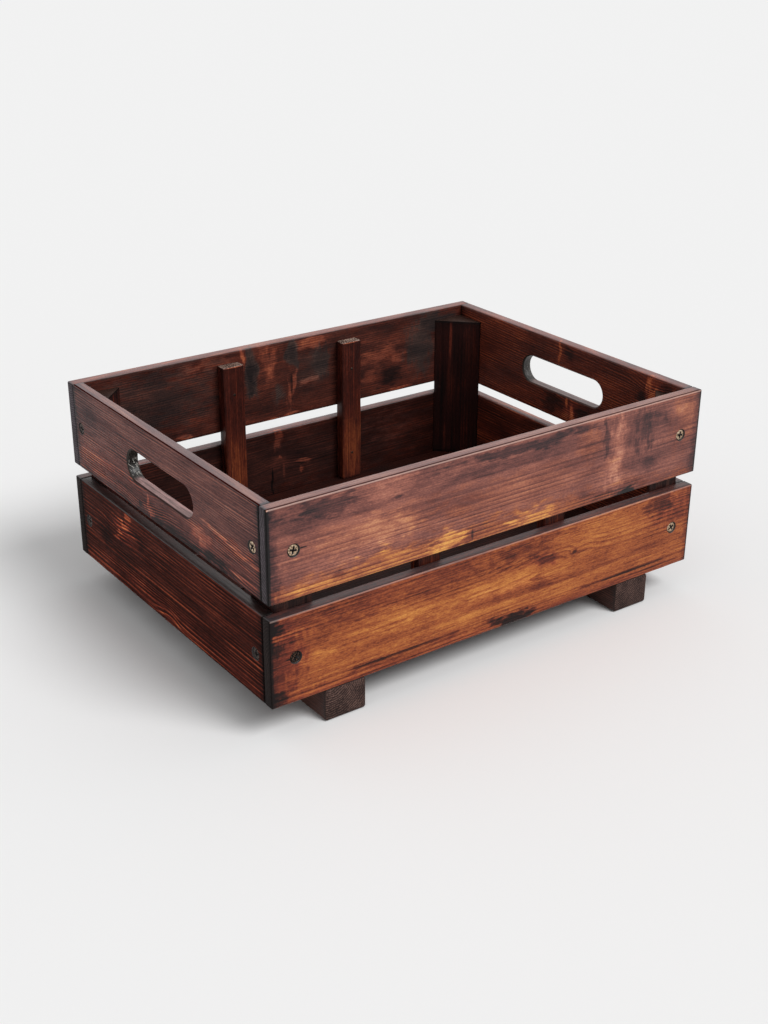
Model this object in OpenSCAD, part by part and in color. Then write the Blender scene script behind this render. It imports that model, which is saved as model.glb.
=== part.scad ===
// Slatted wooden crate for a bicycle carrier. Two rows of boards stand on edge round four
// three-cornered posts, with upright battens inside, over a slatted floor on two runners.
// The origin is in the middle under the runners: X runs along the front, Y to the back, Z up.

/* [Crate] */
// Outside length, along the front
crate_l = 400; // [340:1:480]
// Outside width, front to back
crate_w = 302; // [260:1:360]

/* [Side boards] */
// Thickness of every side board
board_t = 9.5; // [8:0.5:12]
// Height of the lower row of boards
lower_h = 68.4; // [60:0.1:90]
// Open gap between the two rows
row_gap = 11; // [6:0.5:20]
// Height of the upper row of boards
upper_h = 70; // [60:0.5:90]
// Radius of the sanded edges along a board
edge_r = 1; // [0.6:0.1:2]
// Radius of the sanded corners at the ends of a board
end_r = 2; // [0.6:0.1:3]

/* [Hand slots] */
// Length of a hand slot, over its round ends
slot_l = 101.4; // [80:0.1:130]
// Height of a hand slot
slot_h = 24.3; // [20:0.1:32]
// Middle of a slot above the lower edge of its board
slot_up = 35.3; // [32:0.1:38]
// Width of the bevel round a slot, on both faces
slot_bevel = 1.1; // [0.6:0.1:2.5]

/* [Corner posts] */
// Length of a post's two outer faces, seen from above
post_leg = 30; // [26:0.5:40]
// Width of the blunt edge at each sharp corner of a post
post_blunt = 0.8; // [0.4:0.1:2]
// Height of the rim above the tops of the posts
post_drop = 10; // [4:0.5:20]

/* [Battens] */
// Width of an upright batten
batten_w = 20; // [14:0.5:30]
// Thickness of an upright batten
batten_t = 10; // [6:0.5:16]
// Distance between the middles of the two battens of a wall
batten_pitch = 120; // [80:1:160]
// Height of the rim above the tops of the battens
batten_drop = 10; // [4:0.5:20]
// Radius of the sanded edges of a batten
batten_r = 0.8; // [0.4:0.1:1.5]

/* [Floor] */
// Thickness of a floor slat
floor_t = 9.5; // [8:0.5:14]
// Gap between two floor slats
floor_gap = 3; // [1:0.5:8]
// Play between the floor and the walls, on each side
floor_play = 0.5; // [0.2:0.1:2]

/* [Runners] */
// Width of a runner
runner_w = 34.7; // [26:0.1:44]
// Height of a runner
runner_h = 25.3; // [22:0.1:34]
// Distance from the ends of the crate to the runners
runner_in = 43.2; // [34:0.1:60]
// Radius of the sanded edges of a runner
runner_r = 1.6; // [0.6:0.1:3]

/* [Screws and pins] */
// Diameter of a screw over its thread
screw_d = 4; // [3:0.1:4.5]
// Diameter of a screw head
head_d = 8; // [7:0.1:9]
// Depth of a screw head's top below the wood
head_sink = 0.6; // [0.2:0.1:1]
// Length of the screws through the walls into the posts
wall_screw_l = 16; // [14:0.5:17]
// Length of the screws through the floor slats
floor_screw_l = 25; // [20:0.5:28]
// Distance from the crate's corner to the screws of a wall
screw_in = 20; // [18:0.5:24]
// Height of the lower screws above the lower edge of their board
lower_screw_up = 35; // [30:0.5:40]
// Height of the upper screws above the lower edge of their board
upper_screw_up = 36; // [30:0.5:40]
// Distance from a post's two outer faces to the screw in its foot
post_screw_in = 9; // [7:0.5:10]
// Diameter of a batten pin
pin_d = 1.4; // [1:0.1:2]
// Diameter of a batten pin's head
pin_head_d = 2.4; // [2:0.1:3]
// Length of a batten pin
pin_l = 16; // [13:0.5:17]

/* [Hidden] */

// Number of floor slats
SLATS = 4;
// Room round a screw's thread, round its head and round a pin, in radius
SHANK_ROOM = 0.05;
HEAD_ROOM = 0.35;
PIN_ROOM = 0.03;
// Thickness of a screw head's upright rim, and the radius of a screw's point
HEAD_RIM = 0.3;
SCREW_TIP_R = 0.4;
// Length, width and depth of each arm of a screw head's cross
CROSS_L = 4.6;
CROSS_W = 0.9;
CROSS_DEEP = 1.7;
// Thickness of a pin's head
PIN_HEAD_T = 0.8;
// How far a cut runs past the face that it opens
PAST = 1;
$fn = 48;

wall_h = lower_h + row_gap + upper_h;
upper_z = lower_h + row_gap;
head_cone_h = (head_d - screw_d) / 2;
inner_w = crate_w - 2 * board_t;
slat_l = crate_l - 2 * board_t - 2 * floor_play;
slat_w = (inner_w - 2 * floor_play - (SLATS - 1) * floor_gap) / SLATS;
left_runner_x = -crate_l / 2 + runner_in;
right_runner_x = crate_l / 2 - runner_in - runner_w;
floor_top = runner_h + floor_t;

// A wall is called front, right, back or left
function is_end(wall) = wall == "left" || wall == "right";
function wall_turn(wall) = wall == "front" ? 0 : wall == "right" ? 90 : wall == "back" ? 180 : 270;
function wall_span(wall) = is_end(wall) ? crate_w : crate_l;
function wall_reach(wall) = is_end(wall) ? crate_l / 2 : crate_w / 2;
function board_l(wall) = is_end(wall) ? inner_w : crate_l;
function slat_y(i) = -inner_w / 2 + floor_play + i * (slat_w + floor_gap);

// Rectangle with one corner at the origin and round corners
module round_rect(w, h, r) {
    translate([r, 0]) square([w - 2 * r, h]);
    translate([0, r]) square([w, h - 2 * r]);
    for (x = [r, w - r], y = [r, h - r]) translate([x, y]) circle(r = r);
}

// Piece of wood that lies along X, sanded along its edges and at its end corners
module sanded_length(l, t, h, r, corner_r) {
    intersection() {
        rotate([90, 0, 90]) linear_extrude(l) round_rect(t, h, r);
        linear_extrude(h) round_rect(l, t, corner_r);
        translate([0, t, 0]) rotate([90, 0, 0]) linear_extrude(t) round_rect(l, h, corner_r);
    }
}

// Puts its children on a wall: X along the wall, Y inwards from its face, Z up from its foot
module on_wall(wall) {
    rotate([0, 0, wall_turn(wall)]) translate([0, -wall_reach(wall), runner_h]) children();
}

// Puts its children at one corner inside the walls, turned so that X and Y run inwards
module in_corner(x_side, y_side) {
    mirror([x_side > 0 ? 1 : 0, 0, 0]) mirror([0, y_side > 0 ? 1 : 0, 0])
        translate([-crate_l / 2 + board_t, -crate_w / 2 + board_t, runner_h]) children();
}

// Countersunk screw, driven along Z, with its head's top at the origin
module screw(l) {
    r = screw_d / 2;
    difference() {
        rotate_extrude() polygon([[0, 0], [head_d / 2, 0], [head_d / 2, HEAD_RIM],
            [r, HEAD_RIM + head_cone_h], [r, l - screw_d], [SCREW_TIP_R, l], [0, l]]);
        for (turn = [0, 90]) rotate([0, 0, turn])
            translate([-CROSS_L / 2, -CROSS_W / 2, -PAST]) cube([CROSS_L, CROSS_W, CROSS_DEEP + PAST]);
    }
}

// Hole that a screw sits in, from its head's top down past its point
module screw_hole(l) {
    r = screw_d / 2 + SHANK_ROOM;
    head_r = head_d / 2 + HEAD_ROOM;
    rotate_extrude() polygon([[0, -head_sink - PAST], [head_r, -head_sink - PAST], [head_r, HEAD_RIM],
        [r, HEAD_RIM + head_r - r], [r, l + SHANK_ROOM], [0, l + SHANK_ROOM]]);
}

// Pin with a small flat head, driven along Z, with its head's top at the origin
module pin() {
    cylinder(h = PIN_HEAD_T, d = pin_head_d);
    cylinder(h = pin_l, d = pin_d);
}

// Hole that a pin sits in
module pin_hole() {
    translate([0, 0, -PAST]) cylinder(h = PIN_HEAD_T + PAST, d = pin_head_d + 2 * PIN_ROOM);
    cylinder(h = pin_l + PIN_ROOM, d = pin_d + 2 * PIN_ROOM);
}

// The four screw places of a wall, each turned to drive inwards
module wall_screw_places(wall) {
    across = wall_span(wall) / 2 - screw_in;
    on_wall(wall) for (x = [-across, across], z = [lower_screw_up, upper_z + upper_screw_up])
        translate([x, head_sink, z]) rotate([-90, 0, 0]) children();
}

// The screw places in the floor slats, driven down into the runners
module floor_screw_places() {
    for (x = [left_runner_x + runner_w / 2, right_runner_x + runner_w / 2], i = [0 : SLATS - 1])
        translate([x, slat_y(i) + slat_w / 2, floor_top - head_sink]) rotate([180, 0, 0]) children();
}

// The screw places under the floor, driven up into the feet of the posts
module post_screw_places() {
    for (x_side = [-1, 1], y_side = [-1, 1]) in_corner(x_side, y_side)
        translate([post_screw_in, post_screw_in, head_sink]) children();
}

// The pin places of a wall's battens, driven outwards at the middle of each board
module pin_places(wall) {
    on_wall(wall) for (x = [-batten_pitch / 2, batten_pitch / 2], z = [lower_h / 2, upper_z + upper_h / 2])
        translate([x, board_t + batten_t, z]) rotate([90, 0, 0]) children();
}

// Slot with round ends and bevelled rims through a board that faces along Y
module hand_slot() {
    r = slot_h / 2;
    reach = slot_l / 2 - r;
    rim = r + slot_bevel;
    rotate([-90, 0, 0]) {
        for (x = [-reach, reach]) translate([x, 0, 0]) {
            translate([0, 0, -PAST]) cylinder(h = board_t + 2 * PAST, r = r);
            translate([0, 0, -PAST]) cylinder(h = PAST + slot_bevel, r1 = rim + PAST, r2 = r);
            translate([0, 0, board_t - slot_bevel]) cylinder(h = slot_bevel + PAST, r1 = r, r2 = rim + PAST);
        }
        rotate([90, 0, 90]) translate([0, 0, -reach]) linear_extrude(2 * reach)
            polygon([[-r, slot_bevel], [-rim - PAST, -PAST], [rim + PAST, -PAST], [r, slot_bevel],
                [r, board_t - slot_bevel], [rim + PAST, board_t + PAST],
                [-rim - PAST, board_t + PAST], [-r, board_t - slot_bevel]]);
    }
}

// One board of a wall, from height z, with its screw holes
module wall_board(wall, z, h) {
    l = board_l(wall);
    difference() {
        on_wall(wall) translate([-l / 2, 0, z]) sanded_length(l, board_t, h, edge_r, end_r);
        wall_screw_places(wall) screw_hole(wall_screw_l);
        if (!is_end(wall)) pin_places(wall) pin_hole();
        if (is_end(wall) && z > 0) on_wall(wall) translate([0, 0, z + slot_up]) hand_slot();
    }
}

// Three-cornered post in one corner, from the floor to just under the rim
module post(x_side, y_side) {
    difference() {
        in_corner(x_side, y_side) translate([0, 0, floor_t]) linear_extrude(wall_h - floor_t - post_drop)
            polygon([[0, 0], [post_leg, 0], [post_leg, post_blunt], [post_blunt, post_leg], [0, post_leg]]);
        wall_screw_places(y_side < 0 ? "front" : "back") screw_hole(wall_screw_l);
        wall_screw_places(x_side < 0 ? "left" : "right") screw_hole(wall_screw_l);
        post_screw_places() screw_hole(floor_screw_l);
    }
}

// Upright batten on the inside of the front or the back
module batten(wall, side) {
    difference() {
        on_wall(wall) translate([side * batten_pitch / 2 - batten_w / 2, board_t, floor_t])
            linear_extrude(wall_h - floor_t - batten_drop) round_rect(batten_w, batten_t, batten_r);
        pin_places(wall) pin_hole();
    }
}

// One slat of the floor, counted from the front
module floor_slat(i) {
    difference() {
        translate([-slat_l / 2, slat_y(i), runner_h]) sanded_length(slat_l, slat_w, floor_t, edge_r, edge_r);
        floor_screw_places() screw_hole(floor_screw_l);
        post_screw_places() screw_hole(floor_screw_l);
    }
}

// Runner under the floor, flush with the front and the back, from the place x
module runner(x) {
    difference() {
        translate([x + runner_w, -crate_w / 2, 0]) rotate([0, 0, 90])
            sanded_length(crate_w, runner_w, runner_h, runner_r, runner_r);
        floor_screw_places() screw_hole(floor_screw_l);
    }
}

module front_upper_board() color("#84543f") wall_board("front", upper_z, upper_h);
module front_lower_board() color("#a9683c") wall_board("front", 0, lower_h);
module back_upper_board() color("#754434") wall_board("back", upper_z, upper_h);
module back_lower_board() color("#54332c") wall_board("back", 0, lower_h);
module left_upper_board() color("#6f443b") wall_board("left", upper_z, upper_h);
module left_lower_board() color("#5f3930") wall_board("left", 0, lower_h);
module right_upper_board() color("#6b4035") wall_board("right", upper_z, upper_h);
module right_lower_board() color("#5a3831") wall_board("right", 0, lower_h);

module front_left_post() color("#5e3a2f") post(-1, -1);
module front_right_post() color("#5e3a2f") post(1, -1);
module back_left_post() color("#5e3a2f") post(-1, 1);
module back_right_post() color("#5e3a2f") post(1, 1);

module front_left_batten() color("#6d4232") batten("front", -1);
module front_right_batten() color("#6d4232") batten("front", 1);
module back_left_batten() color("#6d4232") batten("back", 1);
module back_right_batten() color("#6d4232") batten("back", -1);

module floor_slat_1() color("#4f312b") floor_slat(0);
module floor_slat_2() color("#523229") floor_slat(1);
module floor_slat_3() color("#4f312b") floor_slat(2);
module floor_slat_4() color("#523229") floor_slat(3);

module left_runner() color("#6a5a55") runner(left_runner_x);
module right_runner() color("#6a5a55") runner(right_runner_x);

module front_screws() color("#a28a5c") wall_screw_places("front") screw(wall_screw_l);
module back_screws() color("#a28a5c") wall_screw_places("back") screw(wall_screw_l);
module left_screws() color("#a28a5c") wall_screw_places("left") screw(wall_screw_l);
module right_screws() color("#a28a5c") wall_screw_places("right") screw(wall_screw_l);
module floor_screws() color("#a28a5c") floor_screw_places() screw(floor_screw_l);
module post_screws() color("#a28a5c") post_screw_places() screw(floor_screw_l);
module batten_pins() color("#9a938a") for (wall = ["front", "back"]) pin_places(wall) pin();

front_upper_board();
front_lower_board();
back_upper_board();
back_lower_board();
left_upper_board();
left_lower_board();
right_upper_board();
right_lower_board();
front_left_post();
front_right_post();
back_left_post();
back_right_post();
front_left_batten();
front_right_batten();
back_left_batten();
back_right_batten();
floor_slat_1();
floor_slat_2();
floor_slat_3();
floor_slat_4();
left_runner();
right_runner();
front_screws();
back_screws();
left_screws();
right_screws();
floor_screws();
post_screws();
batten_pins();
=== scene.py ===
# Slatted wooden bicycle crate: scorched and varnished softwood on corner posts, with inner battens,
# a slatted floor and two runners. The sections follow the crate as it is put together.
import math
import random

import bmesh
import bpy
import numpy as np
from mathutils import Matrix, Vector, noise


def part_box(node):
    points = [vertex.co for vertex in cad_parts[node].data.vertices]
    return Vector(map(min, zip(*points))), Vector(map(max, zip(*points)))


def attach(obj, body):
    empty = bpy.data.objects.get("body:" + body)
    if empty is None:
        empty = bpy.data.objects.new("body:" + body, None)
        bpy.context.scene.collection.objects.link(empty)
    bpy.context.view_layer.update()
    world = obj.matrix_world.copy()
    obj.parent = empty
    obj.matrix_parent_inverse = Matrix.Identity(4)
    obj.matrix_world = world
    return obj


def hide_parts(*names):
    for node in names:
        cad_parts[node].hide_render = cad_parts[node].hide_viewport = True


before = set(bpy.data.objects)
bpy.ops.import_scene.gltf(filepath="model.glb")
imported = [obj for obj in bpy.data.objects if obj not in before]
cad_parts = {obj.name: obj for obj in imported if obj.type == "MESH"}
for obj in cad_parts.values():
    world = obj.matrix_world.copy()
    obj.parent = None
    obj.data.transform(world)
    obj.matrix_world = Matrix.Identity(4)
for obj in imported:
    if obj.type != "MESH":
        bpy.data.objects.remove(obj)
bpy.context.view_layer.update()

# Corner posts. Each is a square stick of softwood sawn corner to corner, scorched with a torch and
# varnished. It stands on the floor in a corner, and the screws of two walls bite into it.
MM = 0.001
X, Y, Z = Vector((1, 0, 0)), Vector((0, 1, 0)), Vector((0, 0, 1))
ARC_STEPS = 4


def laid_out(node, along, up, inward):
    """Corner of a CAD node's box that along, up and inward start from, and its size along them in mm."""
    low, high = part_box(node)
    towards = along + up + inward
    start = Vector([low[i] if towards[i] > 0 else high[i] for i in range(3)])
    return start, [abs((high - low).dot(axis)) / MM for axis in (along, up, inward)]


def stick_section(corners, radius, step):
    """Outline of a stick's cross-section in mm, with round corners and even steps between them.

    Returns the points, the outward direction at each and how far round a corner it lies, 0 to 1."""
    corners = np.array(corners, float)
    edges = np.roll(corners, -1, axis=0) - corners
    normals = np.stack([edges[:, 1], -edges[:, 0]], 1) / np.linalg.norm(edges, axis=1)[:, None]
    starts, ends = [], []
    for i, corner in enumerate(corners):
        came, goes = normals[i - 1], normals[i]
        centre = corner - radius * (came + goes) / (1 + came @ goes)
        starts.append(centre + radius * goes)
        ends.append(centre + radius * came)
    points, outward, on_corner = [], [], []
    for i in range(len(corners)):
        came, goes = normals[i - 1], normals[i]
        centre = starts[i] - radius * goes
        turn = math.acos(max(-1.0, min(1.0, came @ goes)))
        for k in range(ARC_STEPS + 1):
            share = k / ARC_STEPS
            direction = math.sin((1 - share) * turn) * came + math.sin(share * turn) * goes
            direction /= np.linalg.norm(direction)
            points.append(centre + radius * direction)
            outward.append(direction)
            on_corner.append(math.sin(share * math.pi))
        end = ends[(i + 1) % len(corners)]
        pieces = max(1, round(np.linalg.norm(end - starts[i]) / step))
        for k in range(1, pieces):
            points.append(starts[i] + (end - starts[i]) * k / pieces)
            outward.append(goes)
            on_corner.append(0.0)
    return points, outward, on_corner


def sanded_stick(name, start, axes, length, corners, radius, step, seed, wear):
    """Mesh object of a stick or board as it comes from the saw and the sander, a little bowed and chipped.

    axes are its directions along, up and inward from the corner start; corners outline its section
    in up and inward, in mm. All bow and wear goes inwards."""
    along, up, inward = axes
    points, outward, on_corner = stick_section(corners, radius, step)
    quarter = [k * math.pi / 2 / ARC_STEPS for k in range(ARC_STEPS + 1)]
    near_end = [(radius * (1 - math.sin(a)), radius * (1 - math.cos(a))) for a in reversed(quarter)]
    middle = np.linspace(radius, length - radius, max(2, round((length - 2 * radius) / step)) + 1)[1:-1]
    rows = near_end + [(g, 0.0) for g in middle] + [(length - g, inset) for g, inset in reversed(near_end)]
    drift = Vector((seed * 7.3, seed * 3.1, seed * 5.7))
    verts = []
    for g, inset in rows:
        for p, n, c in zip(points, outward, on_corner):
            bow = 0.04 * (1 + noise.noise(Vector((g / 90, p[0] / 25, p[1] / 25)) + drift))
            chip = c * wear * (0.5 + 0.5 * noise.noise(Vector((g / 7, p[0] / 9, p[1] / 9)) + drift))
            q = p - n * (inset + bow + chip)
            verts.append(start + MM * (float(g) * along + float(q[0]) * up + float(q[1]) * inward))
    ring = len(points)
    last = (len(rows) - 1) * ring
    faces = [(r + i, r + (i + 1) % ring, r + ring + (i + 1) % ring, r + ring + i)
             for r in range(0, last, ring) for i in range(ring)]
    faces += [tuple(range(ring)), tuple(range(last, last + ring))]
    mesh = bpy.data.meshes.new(name)
    mesh.from_pydata([v[:] for v in verts], [], faces)
    piece = bpy.data.objects.new(name, mesh)
    bpy.context.scene.collection.objects.link(piece)
    face_outwards(piece)
    return piece


def face_outwards(piece):
    """Turns all faces of a closed mesh outwards, and keeps only its real edges sharp."""
    shape = bmesh.new()
    shape.from_mesh(piece.data)
    bmesh.ops.recalc_face_normals(shape, faces=shape.faces)
    shape.to_mesh(piece.data)
    shape.free()
    piece.data.shade_smooth()
    piece.data.set_sharp_from_angle(angle=math.radians(38))


def lathe(profile, steps, place, axis):
    """Closed solid turned from (radius, depth) points in mm, deep along axis from place in m."""
    turn = axis.to_track_quat("Z", "Y")
    verts, faces = [], []
    for r, z in profile:
        for k in range(steps):
            angle = 2 * math.pi * k / steps
            verts.append((place + turn @ Vector((r * math.cos(angle), r * math.sin(angle), z)) * MM)[:])
    last = (len(profile) - 1) * steps
    for row in range(0, last, steps):
        faces += [(row + k, row + (k + 1) % steps, row + steps + (k + 1) % steps, row + steps + k)
                  for k in range(steps)]
    faces += [tuple(range(steps)), tuple(range(last, last + steps))]
    return verts, faces


def solids_mesh(name, solids):
    """One mesh object of several closed solids, each given as its vertices and faces."""
    verts, faces = [], []
    for solid_verts, solid_faces in solids:
        base = len(verts)
        verts += solid_verts
        faces += [tuple(base + i for i in f) for f in solid_faces]
    mesh = bpy.data.meshes.new(name)
    mesh.from_pydata(verts, [], faces)
    piece = bpy.data.objects.new(name, mesh)
    bpy.context.scene.collection.objects.link(piece)
    face_outwards(piece)
    return piece


def cut_away(piece, solids, lining):
    """Cuts solids out of piece, and gives the walls of the cut the material lining."""
    if not solids:
        return
    cutter = solids_mesh("cutter", solids)
    cutter.data.materials.append(lining)
    cut = piece.modifiers.new("cut", "BOOLEAN")
    cut.object = cutter
    cut.operation = "DIFFERENCE"
    cut.solver = "EXACT"
    cut.material_mode = "TRANSFER"
    bpy.context.view_layer.update()
    result = bpy.data.meshes.new_from_object(piece.evaluated_get(bpy.context.evaluated_depsgraph_get()))
    piece.modifiers.clear()
    piece.data = result
    bpy.data.objects.remove(cutter)
    piece.data.shade_smooth()
    piece.data.set_sharp_from_angle(angle=math.radians(38))


SCREW_R, HEAD_R, HEAD_RIM, SINK = 2.0, 4.0, 0.3, 0.6
SHANK_ROOM, HEAD_ROOM = 0.05, 0.55
WALL_SCREW, FLOOR_SCREW = 16.0, 25.0
WALL_DRIVES = {"front": Y, "back": -Y, "left": X, "right": -X}


def screw_hole(head_top, drive, length):
    """Countersunk hole of one screw, crumbled a little wider round its mouth."""
    shank, head = SCREW_R + SHANK_ROOM, HEAD_R + HEAD_ROOM
    profile = [(head + 0.9, -SINK - 0.4), (head + 0.35, -SINK + 0.15), (head, -SINK + 0.6), (head, HEAD_RIM),
               (shank, HEAD_RIM + head - shank), (shank, length + SHANK_ROOM)]
    return lathe(profile, 28, head_top, drive)


def box_corners(node, drive, margin):
    """Points on the driven side of a CAD node's box, margin mm in from its other corners, in m."""
    low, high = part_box(node)
    spots = []
    for x in (low.x + margin * MM, high.x - margin * MM):
        for y in (low.y + margin * MM, high.y - margin * MM):
            for z in (low.z + margin * MM, high.z - margin * MM):
                spot = Vector((x, y, z))
                for i in range(3):
                    if abs(drive[i]) > 0.5:
                        spot[i] = low[i] if drive[i] > 0 else high[i]
                if spot not in spots:
                    spots.append(spot)
    return spots


wall_screws = {wall: box_corners(wall + "_screws", drive, HEAD_R) for wall, drive in WALL_DRIVES.items()}
post_screws = box_corners("post_screws", Z, HEAD_R)


def inside(spot, node):
    """Whether a spot lies inside the box of a CAD node."""
    low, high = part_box(node)
    return all(low[i] < spot[i] < high[i] for i in range(3))


def wall_screw_holes(node, depth):
    """Holes of the wall screws that reach this node at depth mm below their heads."""
    return [screw_hole(spot, drive, WALL_SCREW) for wall, drive in WALL_DRIVES.items()
            for spot in wall_screws[wall] if inside(spot + drive * depth * MM, node)]


class Finish:
    """One material's node tree, with short ways to add nodes and join them."""

    def __init__(self, name):
        self.material = bpy.data.materials.new(name)
        self.material.use_nodes = True
        self.tree = self.material.node_tree
        self.shader = self.tree.nodes["Principled BSDF"]
        self.coordinates = self.add("ShaderNodeTexCoord")

    def add(self, kind, **settings):
        node = self.tree.nodes.new(kind)
        for key, value in settings.items():
            setattr(node, key, value)
        return node

    def feed(self, socket, value):
        if isinstance(value, bpy.types.NodeSocket):
            self.tree.links.new(value, socket)
        else:
            socket.default_value = value

    def math(self, operation, *values):
        node = self.add("ShaderNodeMath", operation=operation)
        for socket, value in zip(node.inputs, values):
            self.feed(socket, value)
        return node.outputs[0]

    def more(self, value, amount, base):
        """base plus amount times value."""
        return self.math("MULTIPLY_ADD", value, amount, base)

    def vector(self, operation, *values):
        node = self.add("ShaderNodeVectorMath", operation=operation)
        for socket, value in zip(node.inputs, values):
            self.feed(socket, value)
        return node.outputs[1 if operation in ("DOT_PRODUCT", "LENGTH") else 0]

    def joined(self, *values):
        node = self.add("ShaderNodeCombineXYZ")
        for socket, value in zip(node.inputs, values):
            self.feed(socket, value)
        return node.outputs[0]

    def parts(self, value):
        node = self.add("ShaderNodeSeparateXYZ")
        self.feed(node.inputs[0], value)
        return list(node.outputs)

    def step(self, value, low, high, start=0.0, end=1.0):
        """Soft step from start, where value is low, to end, where it is high."""
        node = self.add("ShaderNodeMapRange", interpolation_type="SMOOTHSTEP")
        for socket, v in zip(node.inputs, (value, low, high, start, end)):
            self.feed(socket, v)
        return node.outputs[0]

    def mottle(self, place, stretch, detail, roughness, seed):
        """Noise node over place in mm; stretch is the size of its marks along each axis, in mm."""
        node = self.add("ShaderNodeTexNoise")
        drift = [seed * 3.7, seed * 1.9, seed * 5.3]
        scaled = self.vector("MULTIPLY_ADD", place, [1 / s for s in stretch], drift)
        self.feed(node.inputs["Vector"], scaled)
        node.inputs["Scale"].default_value = 1.0
        node.inputs["Detail"].default_value = detail
        node.inputs["Roughness"].default_value = roughness
        return node.outputs

    def in_piece(self, start, axes):
        """Place in mm along a piece's own axes from its corner start."""
        local = self.vector("SUBTRACT", self.coordinates.outputs["Object"], start[:])
        measures = [self.vector("DOT_PRODUCT", local, axis[:]) for axis in axes]
        return self.joined(*[self.math("MULTIPLY", measure, 1 / MM) for measure in measures])

    def blend(self, share, colour, other):
        """colour where share is 0, other where it is 1."""
        node = self.add("ShaderNodeMix", data_type="RGBA")
        for socket, value in zip((node.inputs[0], node.inputs[6], node.inputs[7]), (share, colour, other)):
            self.feed(socket, value)
        return node.outputs[2]

    def ramp(self, value, stops):
        """The colours of stops, each at its value."""
        node = self.add("ShaderNodeValToRGB")
        elements = node.color_ramp.elements
        elements[0].position = stops[0][0]
        elements[1].position = stops[-1][0]
        for place, colour in stops[1:-1]:
            elements.new(place)
        for element, (place, colour) in zip(elements, stops):
            element.color = colour
        self.feed(node.inputs[0], value)
        return node.outputs[0]

    def relief(self, height, strength, deep):
        """Fine relief of the surface, deep mm at most."""
        bump = self.add("ShaderNodeBump")
        bump.inputs["Strength"].default_value = strength
        bump.inputs["Distance"].default_value = deep * MM
        self.feed(bump.inputs["Height"], height)
        self.feed(self.shader.inputs["Normal"], bump.outputs[0])


def paint(red, green, blue):
    """A colour as the eye reads it, 0 to 255, as linear light."""
    shares = [v / 255 for v in (red, green, blue)]
    linear = [v / 12.92 if v < 0.0404 else ((v + 0.055) / 1.055) ** 2.4 for v in shares]
    return (*linear, 1.0)


def toned(stops):
    """Stops for a ramp, from places and colours as the eye reads them."""
    return [(at, paint(*tone)) for at, tone in stops]


def grey(v):
    """A grey of v as linear light."""
    return (v, v, v, 1.0)


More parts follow.
